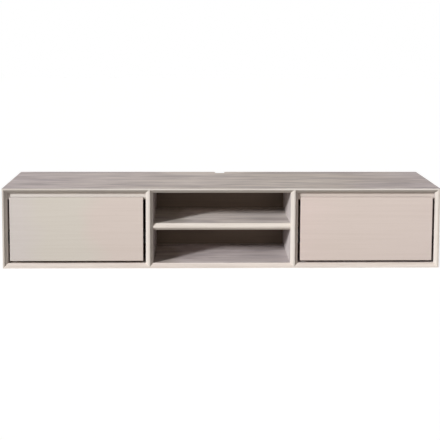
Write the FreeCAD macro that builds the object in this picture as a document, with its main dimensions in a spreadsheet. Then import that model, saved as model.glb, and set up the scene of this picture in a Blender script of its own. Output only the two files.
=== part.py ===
# A wall-hung television unit in whitewashed wood. Four boards, mitred at the corners, make the
# outer frame, and two dividers part it into three equal bays. The middle bay is open and has one
# shelf. Each side bay holds a handle-less drawer on full-extension ball-bearing slides.
# X runs to the right, Y to the wall and Z up; the origin is at the middle of the underside.
# All lengths are in millimetres.
import FreeCAD, Part
import math
import os
import re
import Sketcher

os.makedirs("parts", exist_ok=True)
doc = FreeCAD.newDocument("tv_unit")
dims = doc.addObject("Spreadsheet::Sheet", "dims")

DRIVING_SIZES = [
    # the frame
    ("unit_width", 1600, "outside width of the frame"),
    ("unit_height", 295, "outside height of the frame"),
    ("unit_depth", 400, "outside depth of the frame"),
    ("board_thickness", 17, "top, bottom and side boards"),
    ("edge_bevel", 11, "45 degree bevel on the inner front edges of boards and dividers"),
    ("divider_thickness", 27, "the two dividers"),
    ("cut_overrun", 2, "how far every cut runs past the wood it leaves"),
    ("joint_gap", 0.2, "play of a panel or tongue in its groove, and beyond a screw's tip"),
    # the shelf
    ("shelf_thickness", 24, "middle shelf"),
    ("shelf_bevel", 9.5, "bevel on both front edges of the shelf"),
    ("shelf_clearance", 122, "height of the open bay below the shelf"),
    # joints in the wood
    ("tongue_thickness", 4, "loose plywood tongues, glued into grooves in both boards"),
    ("tongue_width", 12, "loose tongues, across the joint"),
    ("tongue_stop", 40, "wood left ahead of and behind the tongues of boards and shelf"),
    ("rail_tongue_stop", 5, "wood left above and below the tongues of the rails"),
    # the backs and what hangs the unit
    ("back_thickness", 8, "back panels"),
    ("back_groove", 6, "depth of the grooves that hold the back panels"),
    ("cable_space", 70, "from the middle back panel to the frame's rear edges"),
    ("hanger_height", 70, "hanging rails behind the side bays"),
    ("hanger_thickness", 18, "hanging rails"),
    ("wall_hole_diameter", 8, "holes for the wall screws"),
    ("wall_hole_spacing", 320, "between the two wall screws of a hanging rail"),
    ("driver_hole_diameter", 14, "holes in the back panels that pass the screw heads"),
    # the ways for cables
    ("notch_width", 38, "cable notch in the rear edge of the top"),
    ("notch_depth", 30, "cable notch, front to back"),
    ("notch_radius", 8, "corners of the cable notch"),
    ("slot_width", 80, "cable slots in the middle back panel"),
    ("slot_height", 30, "cable slots"),
    ("slot_margin", 6, "wood between a cable slot and the board above it"),
    # the rail behind the top of each drawer front
    ("stop_rail_height", 26, "stop rail"),
    ("stop_rail_thickness", 18, "stop rail"),
    ("stop_rail_gap", 1, "between the closed drawer front and the stop rail"),
    ("pad_height", 5, "bumper pads on the stop rail"),
    ("pad_length", 14, "bumper pads"),
    ("pad_thickness", 0.7, "bumper pads"),
    ("pad_inset", 40, "from the end of the stop rail to a bumper pad"),
    # the drawer fronts
    ("front_thickness", 18, "drawer front"),
    ("front_recess", 2, "from the frame's front to the drawer front's face"),
    ("side_gap", 9.5, "shadow gap beside a drawer front"),
    ("floor_gap", 10, "shadow gap below a drawer front"),
    ("finger_gap", 16, "gap above a drawer front, where the fingers go in"),
    ("front_arris", 1, "small chamfer round the face of a drawer front"),
    ("grip_bevel", 5, "bevel on the back of a drawer front's top edge"),
    # the drawer boxes
    ("box_wall", 12, "drawer box sides, front and back"),
    ("box_headroom", 33, "between the top of the box and the stop rail"),
    ("box_back_gap", 2, "between the back of the closed box and the back panel"),
    ("box_rise", 12, "from the bay's floor to the underside of the box"),
    ("box_housing", 5, "how deep the box front and back sit in the box sides"),
    ("tray_thickness", 6, "bottom panel of a drawer box"),
    ("tray_rise", 12, "from the underside of the box to its bottom panel"),
    ("tray_groove", 5, "depth of the grooves that hold the bottom panel"),
    # the telescopic slides
    ("slide_setback", 2, "from the back of the drawer front to the slides"),
    ("slide_thickness", 12.7, "closed slide, from the cabinet to the box"),
    ("slide_height", 45, "cabinet member"),
    ("slide_rise", 80, "from the underside of the box to the slide's centre line"),
    ("slide_sheet", 1.2, "steel sheet of the members"),
    ("ball_track", 3, "between nested flanges, where the balls run"),
    ("track_lip", 2.4, "turned edge that keeps the balls in"),
    ("web_gap", 1.5, "between the webs of the cabinet and the middle member"),
    ("flange_setback", 1.7, "from the box to the cabinet member's lips"),
    ("middle_setback", 1.1, "from the drawer member's web to the middle member's lips"),
    ("inner_setback", 0.6, "from the middle member's web to the drawer member's flanges"),
    ("window_length", 22, "openings in the middle member that pass the screw heads"),
    ("window_height", 12, "openings in the middle member"),
    ("cage_length", 160, "plastic strips that keep the balls apart"),
    ("cage_width", 4.4, "ball cages, across the track"),
    ("cage_thickness", 2.4, "ball cages, within the track"),
    # screws
    ("screw_diameter", 4, "slide and drawer front screws"),
    ("screw_play", 0.4, "clearance of a screw in its holes"),
    ("screw_head_diameter", 7.5, "pan head"),
    ("screw_head_height", 1, "pan head"),
    ("slide_screw_length", 10, "slide screws, under the head"),
    ("front_screw_length", 24, "drawer front screws, under the head"),
    ("front_screw_inset", 60, "from the sides of the drawer box to the drawer front's screws"),
]

# Where the screws of a slide sit along its length, as shares of it.
SLIDE_SCREW_SHARES = (0.12, 0.88)
# Where a tongue sits across a mitre, from the inner corner, as a share of the thickness.
MITRE_TONGUE_SHARE = 0.45
# Flats round the head and the shank of a screw.
SCREW_FLAT_COUNT = 16

for row, (alias, number, note) in enumerate(DRIVING_SIZES, start=1):
    dims.set(f"A{row}", alias)
    dims.set(f"B{row}", str(number))
    dims.set(f"C{row}", note)
    dims.setAlias(f"B{row}", alias)
doc.recompute()

# Places that several pieces share, as formulas of the driving sizes.
FRONT = "(-unit_depth / 2)"
BACK = "(unit_depth / 2)"
SIDE = "(unit_width / 2)"
NOSE = "(board_thickness - edge_bevel)"
FLOOR = "board_thickness"
CEILING = "(unit_height - board_thickness)"
BAY = "((unit_width - 2 * board_thickness - 2 * divider_thickness) / 3)"
BAY_PITCH = f"({BAY} + divider_thickness)"
DIVIDER_CENTRE = f"({BAY_PITCH} / 2)"
SHELF_FRONT = f"({FRONT} + edge_bevel)"
SHELF_BOTTOM = "(board_thickness + shelf_clearance)"
SHELF_TOP = f"({SHELF_BOTTOM} + shelf_thickness)"
MIDDLE_BACK = f"({BACK} - cable_space - back_thickness)"
SIDE_BACK = f"({BACK} - hanger_thickness - back_thickness)"
HANGER_CENTRE = f"({CEILING} - hanger_height / 2)"
FRONT_FACE = f"({FRONT} + front_recess)"
BOX_FRONT = f"({FRONT_FACE} + front_thickness)"
BOX_END = f"({SIDE_BACK} - box_back_gap)"
BOX_HALF = f"({BAY} / 2 - slide_thickness)"
BOX_BOTTOM = f"({FLOOR} + box_rise)"
BOX_TOP = f"({CEILING} - stop_rail_height - box_headroom)"
TRAY = f"({BOX_BOTTOM} + tray_rise)"
STOP_RAIL_FACE = f"({BOX_FRONT} + stop_rail_gap)"
SLIDE_START = f"({BOX_FRONT} + slide_setback)"
SLIDE_CENTRE = f"({BOX_BOTTOM} + slide_rise)"
# Inside a slide, depths are measured from the wood that the cabinet member is screwed to.
MIDDLE_WEB = "(slide_sheet + web_gap)"
DRAWER_WEB = "(slide_thickness - slide_sheet)"
CABINET_LIPS = "(slide_thickness - flange_setback)"
MIDDLE_LIPS = f"({DRAWER_WEB} - middle_setback)"
CABINET_HALF = "(slide_height / 2)"
MIDDLE_HALF = f"({CABINET_HALF} - slide_sheet - ball_track)"
DRAWER_HALF = f"({MIDDLE_HALF} - slide_sheet - ball_track)"
SCREW_HOLE = "(screw_diameter + screw_play)"

SIDES = (("left", -1), ("right", 1))
PLANE_ROLES = {"xy": "XY_Plane", "xz": "XZ_Plane", "yz": "YZ_Plane"}
pieces = []


def with_sheet(text):
    """Writes each driving size in a formula as a cell of the sheet."""
    return re.sub(r"\b[a-z]+_[a-z_]+\b", lambda found: "dims." + found.group(0), text)


def bind(feature, target, text):
    feature.setExpression(target, with_sheet(text))


def new_body(label, x="0", y="0", z="0"):
    """Starts a piece as a body of its own, placed by three formulas."""
    body = doc.addObject("PartDesign::Body", label)
    body.Label = label
    for axis, text in zip("xyz", (x, y, z)):
        bind(body, f"Placement.Base.{axis}", text)
    pieces.append(body)
    return body


def add_loop(sketch, points):
    """Draws a closed outline whose corners are held by formulas of the driving sizes."""
    first = sketch.GeometryCount
    count = len(points)
    turns = [2 * math.pi * step / count for step in range(count)]
    start = [FreeCAD.Vector(math.cos(turn), math.sin(turn), 0) for turn in turns]
    lines = [Part.LineSegment(start[step], start[(step + 1) % count]) for step in range(count)]
    sketch.addGeometry(lines, False)
    for step in range(count):
        sketch.addConstraint(
            Sketcher.Constraint("Coincident", first + step, 2, first + (step + 1) % count, 1)
        )
    for step, corner in enumerate(points):
        for kind, text, place in zip(("DistanceX", "DistanceY"), corner, start[step]):
            held = sketch.addConstraint(Sketcher.Constraint(kind, -1, 1, first + step, 1, place))
            bind(sketch, f"Constraints[{held}]", text)


def add_circle(sketch, across, up, diameter):
    circle = sketch.addGeometry(Part.Circle(), False)
    for kind, text in (("DistanceX", across), ("DistanceY", up)):
        held = sketch.addConstraint(Sketcher.Constraint(kind, -1, 1, circle, 3, 0))
        bind(sketch, f"Constraints[{held}]", text)
    held = sketch.addConstraint(Sketcher.Constraint("Diameter", circle, 1))
    bind(sketch, f"Constraints[{held}]", diameter)


def extrude(body, kind, plane, low, high, loops=(), circles=()):
    """Pads or pockets outlines from low to high along the axis that the plane leaves out."""
    sketch = body.newObject("Sketcher::SketchObject", "Outline")
    planes = {feature.Role: feature for feature in body.Origin.OriginFeatures}
    sketch.AttachmentSupport = [(planes[PLANE_ROLES[plane]], "")]
    sketch.MapMode = "FlatFace"
    # The XZ plane's normal points to the front, so there the sketch starts at the far end.
    bind(sketch, "AttachmentOffset.Base.z", f"-({high})" if plane == "xz" else low)
    for points in loops:
        add_loop(sketch, points)
    for circle in circles:
        add_circle(sketch, *circle)
    feature = body.newObject(f"PartDesign::{kind}", kind)
    feature.Profile = sketch
    feature.Type = "Length"
    feature.Reversed = kind == "Pocket"
    bind(feature, "Length", f"({high}) - ({low})")
    sketch.Visibility = False
    body.Tip = feature
    return feature


def add(body, plane, low, high, loops=(), circles=()):
    return extrude(body, "Pad", plane, low, high, loops, circles)


def cut(body, plane, low, high, loops=(), circles=()):
    return extrude(body, "Pocket", plane, low, high, loops, circles)


def rectangle(left, right, bottom, top):
    return [(left, bottom), (right, bottom), (right, top), (left, top)]


def grown(low, high, margin):
    """Widens a span at both ends."""
    return f"({low} - {margin})", f"({high} + {margin})"


def soften(body, kind, size, chosen):
    """Fillets or chamfers the edges of the body's last feature that the test chooses."""
    doc.recompute()
    base = body.Tip
    names = [f"Edge{place}" for place, edge in enumerate(base.Shape.Edges, start=1) if chosen(edge)]
    feature = body.newObject(f"PartDesign::{kind}", kind)
    feature.Base = (base, names)
    bind(feature, "Radius" if kind == "Fillet" else "Size", size)
    body.Tip = feature
    return feature


def near(one, other):
    return abs(one - other) < dims.joint_gap / 2


def lies_at(edge, axis, level):
    """Says whether both ends of an edge lie at one level along an axis."""
    return all(near(getattr(vertex.Point, axis), level) for vertex in edge.Vertexes)


def runs_along(edge, axis):
    ends = [vertex.Point for vertex in edge.Vertexes]
    return len(ends) == 2 and not near(getattr(ends[0], axis), getattr(ends[1], axis))


def rod(name, axis, low, high, places, diameter):
    """A bar from low to high along an axis, at two formulas in the other two. It is round but for
    its many narrow flats, which keep the faces of the repeated screws few."""
    bar = doc.addObject("Part::Prism", name)
    bar.Polygon = SCREW_FLAT_COUNT
    spin = {
        "x": FreeCAD.Rotation(FreeCAD.Vector(0, 1, 0), 90),
        "y": FreeCAD.Rotation(FreeCAD.Vector(1, 0, 0), -90),
        "z": FreeCAD.Rotation(),
    }[axis]
    bar.Placement = FreeCAD.Placement(FreeCAD.Vector(), spin)
    others = iter(places)
    for letter in "xyz":
        bind(bar, f"Placement.Base.{letter}", low if letter == axis else next(others))
    bind(bar, "Circumradius", f"{diameter} / 2")
    bind(bar, "Height", f"({high}) - ({low})")
    return bar


def group(label, members, x="0"):
    """Puts like fasteners in one piece as separate solids."""
    joined = doc.addObject("Part::Compound", label)
    joined.Label = label
    joined.Links = members
    bind(joined, "Placement.Base.x", x)
    pieces.append(joined)
    return joined


def screw(name, axis, head, away, places, length):
    """A pan-head screw. Its head sits at a level, and its shank runs the way that away tells."""
    shank_end = f"({head} + ({away}) * {length})"
    head_end = f"({head} - ({away}) * screw_head_height)"
    spans = [(head, shank_end, "screw_diameter"), (head_end, head, "screw_head_diameter")]
    bars = []
    for place, (low, high, diameter) in enumerate(spans):
        if away < 0:
            low, high = high, low
        bars.append(rod(f"{name}_{place}", axis, low, high, places, diameter))
    joined = doc.addObject("Part::Fuse", name)
    joined.Base, joined.Tool = bars
    return joined


def panel_extent(centre):
    """Across and up, the reach of a back panel in its grooves."""
    reach = f"({BAY} / 2 + back_groove - joint_gap)"
    low, high = f"({centre} - {reach})", f"({centre} + {reach})"
    return low, high, f"({FLOOR} - back_groove + joint_gap)", f"({CEILING} + back_groove - joint_gap)"


def cut_back_groove(body, centre, face):
    """Cuts the groove of one back panel into a board: the panel's own shape, a little larger."""
    left, right, bottom, top = panel_extent(centre)
    left, right = grown(left, right, "joint_gap")
    bottom, top = grown(bottom, top, "joint_gap")
    low, high = grown(face, f"({face} + back_thickness)", "joint_gap / 2")
    cut(body, "xz", low, high, [rectangle(left, right, bottom, top)])


def mitre_tongue_outline(sign, up):
    """The section of the tongue at one corner of the frame, square to the mitre."""
    middle = f"(board_thickness * (1 - {MITRE_TONGUE_SHARE}))"
    across = f"({sign} * ({SIDE} - {middle}))"
    rise = f"(unit_height / 2 + ({up}) * (unit_height / 2 - {middle}))"
    half_wide = "(tongue_width / 2 / sqrt(2))"
    half_thick = "(tongue_thickness / 2 / sqrt(2))"
    corners = []
    for along, through in ((1, 1), (1, -1), (-1, -1), (-1, 1)):
        outwards = f"({along} * {half_wide} + {through} * {half_thick})"
        upwards = f"({through} * {half_thick} - {along} * {half_wide})"
        corners.append((f"({across} + {sign} * {outwards})", f"({rise} + ({up}) * {upwards})"))
    return corners


def cut_mitre_grooves(body, corners):
    low = f"({FRONT} + tongue_stop - joint_gap)"
    high = f"({BACK} - tongue_stop + joint_gap)"
    cut(body, "xz", low, high, [mitre_tongue_outline(sign, up) for sign, up in corners])


def divider_tongue(sign, level):
    """The spans in X, Y and Z of the tongue between a divider and the board at a level."""
    centre = f"({sign} * {DIVIDER_CENTRE})"
    return (
        grown(centre, centre, "tongue_thickness / 2"),
        (f"({FRONT} + tongue_stop)", f"({BACK} - tongue_stop)"),
        grown(level, level, "tongue_width / 2"),
    )


def shelf_tongue(sign):
    wall = f"({sign} * {BAY} / 2)"
    rise = f"({SHELF_BOTTOM} + shelf_thickness / 2)"
    return (
        grown(wall, wall, "tongue_width / 2"),
        (f"({SHELF_FRONT} + tongue_stop)", f"({MIDDLE_BACK} - tongue_stop)"),
        grown(rise, rise, "tongue_thickness / 2"),
    )


def rail_tongues(centre, end):
    """The tongues at one end of a side bay's stop rail and hanging rail."""
    wall = f"({centre} + {end} * {BAY} / 2)"
    rails = (
        (f"({STOP_RAIL_FACE} + stop_rail_thickness / 2)", "stop_rail_height"),
        (f"({BACK} - hanger_thickness / 2)", "hanger_height"),
    )
    return [
        (
            grown(wall, wall, "tongue_width / 2"),
            grown(depth, depth, "tongue_thickness / 2"),
            (f"({CEILING} - {height} + rail_tongue_stop)", f"({CEILING} - rail_tongue_stop)"),
        )
        for depth, height in rails
    ]


def cut_tongue_groove(body, spans):
    """Cuts the room of a tongue into a piece: the tongue's own shape, a little larger."""
    (left, right), (near_end, far_end), (bottom, top) = [grown(*span, "joint_gap") for span in spans]
    cut(body, "yz", left, right, [rectangle(near_end, far_end, bottom, top)])


def build_level_board(label, up):
    """The top, up = 1, or the bottom, up = -1: bevelled in front and mitred at both ends."""
    outer = "unit_height" if up > 0 else "0"
    inner = CEILING if up > 0 else FLOOR
    body = new_body(label)
    section = [
        (BACK, outer),
        (FRONT, outer),
        (FRONT, f"{outer} - ({up}) * {NOSE}"),
        (f"({FRONT} + edge_bevel)", inner),
        (BACK, inner),
    ]
    add(body, "yz", f"-{SIDE}", SIDE, [section])
    for _, sign in SIDES:
        end = f"({sign} * ({SIDE} + cut_overrun))"
        start = f"({sign} * ({SIDE} - board_thickness - cut_overrun))"
        past = f"({outer} + ({up}) * cut_overrun)"
        short = f"({inner} - ({up}) * cut_overrun)"
        low, high = grown(FRONT, BACK, "cut_overrun")
        cut(body, "xz", low, high, [[(end, past), (end, short), (start, short)]])
    for _, sign in SIDES:
        cut_back_groove(body, f"({sign} * {BAY_PITCH})", SIDE_BACK)
    cut_back_groove(body, "0", MIDDLE_BACK)
    cut_mitre_grooves(body, [(sign, up) for _, sign in SIDES])
    for _, sign in SIDES:
        cut_tongue_groove(body, divider_tongue(sign, inner))
    return body


def build_top():
    """The top board also has the rounded cable notch in the middle of its rear edge."""
    body = build_level_board("top_panel", 1)
    low, high = grown(CEILING, "unit_height", "cut_overrun")
    notch_end = f"({BACK} - notch_depth)"
    notch = rectangle("-notch_width / 2", "notch_width / 2", notch_end, f"({BACK} + cut_overrun)")
    cut(body, "xy", low, high, [notch])
    end = dims.unit_depth / 2 - dims.notch_depth
    soften(
        body,
        "Fillet",
        "notch_radius",
        lambda edge: lies_at(edge, "y", end)
        and runs_along(edge, "z")
        and near(abs(edge.Vertexes[0].X), dims.notch_width / 2),
    )


def slide_screw_depths():
    return [f"({SLIDE_START} + {share} * ({BOX_END} - {SLIDE_START}))" for share in SLIDE_SCREW_SHARES]


def cut_bay_fixings(body, side, end):
    """Cuts a board beside a side bay for the slide's screws and the tongues of both rails."""
    centre = f"({side} * {BAY_PITCH})"
    pilots = [(depth, SLIDE_CENTRE, SCREW_HOLE) for depth in slide_screw_depths()]
    depth = "(slide_screw_length - slide_sheet + joint_gap)"
    drill(body, f"({centre} + {end} * {BAY} / 2)", end, depth, pilots)
    for spans in rail_tongues(centre, end):
        cut_tongue_groove(body, spans)


def drill(body, wall, into, depth, circles):
    """Blind holes along X from a wall, the way that into tells."""
    far = f"({wall} + ({into}) * {depth})"
    low, high = (wall, far) if into > 0 else (far, wall)
    cut(body, "yz", low, high, circles=circles)


def build_side_board(side, sign):
    body = new_body(f"{side}_side")
    outer = f"({sign} * {SIDE})"
    inner = f"({sign} * ({SIDE} - board_thickness))"
    section = [
        (outer, BACK),
        (outer, FRONT),
        (f"({sign} * ({SIDE} - {NOSE}))", FRONT),
        (inner, f"({FRONT} + edge_bevel)"),
        (inner, BACK),
    ]
    add(body, "xy", "0", "unit_height", [section])
    low, high = grown(FRONT, BACK, "cut_overrun")
    past = f"({sign} * ({SIDE} + cut_overrun))"
    within = f"({sign} * ({SIDE} - board_thickness - cut_overrun))"
    top = [
        (past, "(unit_height + cut_overrun)"),
        (within, "(unit_height + cut_overrun)"),
        (within, f"({CEILING} - cut_overrun)"),
    ]
    bottom = [(past, "(-cut_overrun)"), (within, f"({FLOOR} + cut_overrun)"), (within, "(-cut_overrun)")]
    cut(body, "xz", low, high, [top, bottom])
    cut_back_groove(body, f"({sign} * {BAY_PITCH})", SIDE_BACK)
    cut_mitre_grooves(body, [(sign, 1), (sign, -1)])
    cut_bay_fixings(body, sign, sign)


def build_divider(side, sign):
    """A divider is bevelled on both front edges, and its ends run up the bevels of the boards."""
    body = new_body(f"{side}_divider")
    centre = f"({sign} * {DIVIDER_CENTRE})"
    left, right = grown(centre, centre, "divider_thickness / 2")
    tip_left, tip_right = grown(centre, centre, "(divider_thickness / 2 - edge_bevel)")
    behind = f"({FRONT} + edge_bevel)"
    section = [
        (left, BACK),
        (left, behind),
        (tip_left, FRONT),
        (tip_right, FRONT),
        (right, behind),
        (right, BACK),
    ]
    add(body, "xy", NOSE, f"(unit_height - {NOSE})", [section])
    for outer, inner, up in (("unit_height", CEILING, 1), ("0", FLOOR, -1)):
        ahead = f"({FRONT} - cut_overrun)"
        past = f"({outer} + ({up}) * cut_overrun)"
        shoulder = [
            (ahead, f"({outer} - ({up}) * ({NOSE} - cut_overrun))"),
            (behind, inner),
            (f"({BACK} + cut_overrun)", inner),
            (f"({BACK} + cut_overrun)", past),
            (ahead, past),
        ]
        low, high = grown(left, right, "cut_overrun")
        cut(body, "yz", low, high, [shoulder])
    cut_back_groove(body, f"({sign} * {BAY_PITCH})", SIDE_BACK)
    cut_back_groove(body, "0", MIDDLE_BACK)
    for level in (CEILING, FLOOR):
        cut_tongue_groove(body, divider_tongue(sign, level))
    cut_tongue_groove(body, shelf_tongue(sign))
    cut_bay_fixings(body, sign, -sign)


def build_shelf():
    body = new_body("middle_shelf")
    section = [
        (MIDDLE_BACK, SHELF_TOP),
        (f"({SHELF_FRONT} + shelf_bevel)", SHELF_TOP),
        (SHELF_FRONT, f"({SHELF_TOP} - shelf_bevel)"),
        (SHELF_FRONT, f"({SHELF_BOTTOM} + shelf_bevel)"),
        (f"({SHELF_FRONT} + shelf_bevel)", SHELF_BOTTOM),
        (MIDDLE_BACK, SHELF_BOTTOM),
    ]
    add(body, "yz", f"-{BAY} / 2", f"{BAY} / 2", [section])
    for _, sign in SIDES:
        cut_tongue_groove(body, shelf_tongue(sign))


def block(name, spans):
    """A square-edged block with three spans, along X, Y and Z."""
    solid = doc.addObject("Part::Box", name)
    for letter, size, (low, high) in zip("xyz", ("Length", "Width", "Height"), spans):
        bind(solid, f"Placement.Base.{letter}", low)
        bind(solid, size, f"({high}) - ({low})")
    return solid


def build_frame_tongues():
    """The loose tongues in the mitres, at the dividers' ends and at the shelf's ends."""
    corners = [(sign, up) for _, sign in SIDES for up in (-1, 1)]
    tongues = []
    for place, (sign, up) in enumerate(corners):
        sketch = doc.addObject("Sketcher::SketchObject", f"mitre_tongue_outline_{place}")
        turn = FreeCAD.Rotation(FreeCAD.Vector(1, 0, 0), 90)
        sketch.Placement = FreeCAD.Placement(FreeCAD.Vector(), turn)
        bind(sketch, "Placement.Base.y", f"({BACK} - tongue_stop)")
        add_loop(sketch, mitre_tongue_outline(sign, up))
        tongue = doc.addObject("Part::Extrusion", f"mitre_tongue_{place}")
        tongue.Base = sketch
        tongue.DirMode = "Normal"
        tongue.Solid = True
        bind(tongue, "LengthFwd", "unit_depth - 2 * tongue_stop")
        tongues.append(tongue)
    group("mitre_tongues", tongues)
    ends = [(sign, level) for _, sign in SIDES for level in (FLOOR, CEILING)]
    tongues = [block(f"divider_tongue_{n}", divider_tongue(*end)) for n, end in enumerate(ends)]
    group("divider_tongues", tongues)
    group("shelf_tongues", [block(f"shelf_tongue_{side}", shelf_tongue(sign)) for side, sign in SIDES])


def build_middle_back():
    """The back of the open bay stands forward of the wall and leaves a space for cables behind."""
    body = new_body("middle_back_panel")
    face_end = f"({MIDDLE_BACK} + back_thickness)"
    add(body, "xz", MIDDLE_BACK, face_end, [rectangle(*panel_extent("0"))])
    low, high = grown(MIDDLE_BACK, face_end, "cut_overrun")
    for above in (CEILING, SHELF_BOTTOM):
        slot_top = f"({above} - slot_margin)"
        slot = rectangle("-slot_width / 2", "slot_width / 2", f"({slot_top} - slot_height)", slot_top)
        cut(body, "xz", low, high, [slot])
    # Each slot's four corners are rounded to a half circle, a little short of meeting.
    soften(
        body,
        "Fillet",
        "(slot_height / 2 - joint_gap)",
        lambda edge: runs_along(edge, "y") and near(abs(edge.Vertexes[0].X), dims.slot_width / 2),
    )


def wall_hole_places(diameter):
    return [(f"({sign} * wall_hole_spacing / 2)", HANGER_CENTRE, diameter) for _, sign in SIDES]


def build_bay_backs(side, sign):
    """A side bay's back panel, and the rail behind it that takes the wall screws."""
    centre = f"({sign} * {BAY_PITCH})"
    panel = new_body(f"{side}_back_panel", x=centre)
    face_end = f"({SIDE_BACK} + back_thickness)"
    add(panel, "xz", SIDE_BACK, face_end, [rectangle(*panel_extent("0"))])
    low, high = grown(SIDE_BACK, face_end, "cut_overrun")
    cut(panel, "xz", low, high, circles=wall_hole_places("driver_hole_diameter"))
    rail = new_body(f"{side}_hanging_rail", x=centre)
    half = f"({BAY} / 2)"
    outline = rectangle(f"-{half}", half, f"({CEILING} - hanger_height)", CEILING)
    add(rail, "xz", f"({BACK} - hanger_thickness)", BACK, [outline])
    low, high = grown(f"({BACK} - hanger_thickness)", BACK, "cut_overrun")
    cut(rail, "xz", low, high, circles=wall_hole_places("wall_hole_diameter"))
    for _, end in SIDES:
        cut_tongue_groove(rail, rail_tongues("0", end)[1])


def build_stop_rail(side, sign):
    """The rail under the top board that shows above the drawer front, with its bumper pads."""
    centre = f"({sign} * {BAY_PITCH})"
    half = f"({BAY} / 2)"
    face_end = f"({STOP_RAIL_FACE} + stop_rail_thickness)"
    underside = f"({CEILING} - stop_rail_height)"
    rail = new_body(f"{side}_stop_rail", x=centre)
    add(rail, "xz", STOP_RAIL_FACE, face_end, [rectangle(f"-{half}", half, underside, CEILING)])
    for _, end in SIDES:
        cut_tongue_groove(rail, rail_tongues("0", end)[0])
    tongues = []
    pads = []
    for name, end in SIDES:
        for place, spans in enumerate(rail_tongues("0", end)):
            tongues.append(block(f"{side}_rail_tongue_{name}_{place}", spans))
        middle = f"({end} * ({half} - pad_inset))"
        spans = (
            grown(middle, middle, "pad_length / 2"),
            (f"({STOP_RAIL_FACE} - pad_thickness)", STOP_RAIL_FACE),
            (underside, f"({underside} + pad_height)"),
        )
        pads.append(block(f"{side}_pad_{name}", spans))
    group(f"{side}_rail_tongues", tongues, x=centre)
    group(f"{side}_bumper_pads", pads, x=centre)


def front_screw_places():
    rise = f"(({BOX_BOTTOM} + {BOX_TOP}) / 2)"
    return [(f"({sign} * ({BOX_HALF} - front_screw_inset))", rise) for _, sign in SIDES]


def build_drawer_front(side, centre):
    body = new_body(f"{side}_drawer_front", x=centre)
    half = f"({BAY} / 2 - side_gap)"
    bottom, top = f"({FLOOR} + floor_gap)", f"({CEILING} - finger_gap)"
    add(body, "xz", FRONT_FACE, BOX_FRONT, [rectangle(f"-{half}", half, bottom, top)])
    pilots = [(across, rise, SCREW_HOLE) for across, rise in front_screw_places()]
    depth = "(front_screw_length - box_wall + joint_gap)"
    cut(body, "xz", f"({BOX_FRONT} - {depth})", BOX_FRONT, circles=pilots)
    face = dims.front_recess - dims.unit_depth / 2
    top_level = dims.unit_height - dims.board_thickness - dims.finger_gap
    soften(body, "Chamfer", "front_arris", lambda edge: lies_at(edge, "y", face))
    soften(
        body,
        "Chamfer",
        "grip_bevel",
        lambda edge: lies_at(edge, "y", face + dims.front_thickness) and lies_at(edge, "z", top_level),
    )


def tray_extent():
    """Across and back, the reach of a drawer's bottom panel in its grooves."""
    half = f"({BOX_HALF} - box_wall + tray_groove - joint_gap)"
    low = f"({BOX_FRONT} + box_wall - tray_groove + joint_gap)"
    high = f"({BOX_END} - box_wall + tray_groove - joint_gap)"
    return f"-{half}", half, low, high


def cut_tray_groove(body):
    left, right, low, high = tray_extent()
    left, right = grown(left, right, "joint_gap")
    low, high = grown(low, high, "joint_gap")
    bottom, top = grown(TRAY, f"({TRAY} + tray_thickness)", "joint_gap / 2")
    cut(body, "xy", bottom, top, [rectangle(left, right, low, high)])


def build_drawer_box(side, centre):
    ends = (("box_front", BOX_FRONT, 1), ("box_back", BOX_END, -1))
    for name, outer, inwards in ends:
        body = new_body(f"{side}_{name}", x=centre)
        half = f"({BOX_HALF} - box_wall + box_housing)"
        far = f"({outer} + ({inwards}) * box_wall)"
        low, high = (outer, far) if inwards > 0 else (far, outer)
        add(body, "xz", low, high, [rectangle(f"-{half}", half, BOX_BOTTOM, BOX_TOP)])
        cut_tray_groove(body)
        if name == "box_front":
            holes = [(across, rise, SCREW_HOLE) for across, rise in front_screw_places()]
            low, high = grown(low, high, "cut_overrun")
            cut(body, "xz", low, high, circles=holes)
    for hand, sign in SIDES:
        body = new_body(f"{side}_box_{hand}_side", x=centre)
        outer, inner = f"({sign} * {BOX_HALF})", f"({sign} * ({BOX_HALF} - box_wall))"
        low, high = (inner, outer) if sign > 0 else (outer, inner)
        add(body, "yz", low, high, [rectangle(BOX_FRONT, BOX_END, BOX_BOTTOM, BOX_TOP)])
        floor = f"({sign} * ({BOX_HALF} - box_wall + box_housing))"
        past = f"({sign} * ({BOX_HALF} - box_wall - cut_overrun))"
        bottom, top = grown(BOX_BOTTOM, BOX_TOP, "cut_overrun")
        housings = [
            rectangle(floor, past, f"({BOX_FRONT} - cut_overrun)", f"({BOX_FRONT} + box_wall)"),
            rectangle(floor, past, f"({BOX_END} - box_wall)", f"({BOX_END} + cut_overrun)"),
        ]
        cut(body, "xy", bottom, top, housings)
        cut_tray_groove(body)
        pilots = [(depth, SLIDE_CENTRE, SCREW_HOLE) for depth in slide_screw_depths()]
        drill(body, outer, -sign, "(slide_screw_length - slide_sheet + joint_gap)", pilots)
    tray = new_body(f"{side}_box_bottom", x=centre)
    add(tray, "xy", TRAY, f"({TRAY} + tray_thickness)", [rectangle(*tray_extent())])
    screws = []
    head = f"({BOX_FRONT} + box_wall)"
    for place, places in enumerate(front_screw_places()):
        screws.append(screw(f"{side}_front_screw_{place}", "y", head, -1, places, "front_screw_length"))
    group(f"{side}_front_screws", screws, x=centre)


def across_slide(sign, depth):
    """The place across a bay that lies a depth in from the wall that the slide is screwed to."""
    return f"({sign} * ({BAY} / 2 - {depth}))"


def mirrored_section(lower_half, sign):
    """Closes the lower half of a slide member's section with its mirror image above."""
    outline = lower_half + [(depth, f"(-{rise})") for depth, rise in reversed(lower_half)]
    return [(across_slide(sign, depth), f"({SLIDE_CENTRE} + {rise})") for depth, rise in outline]


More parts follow.
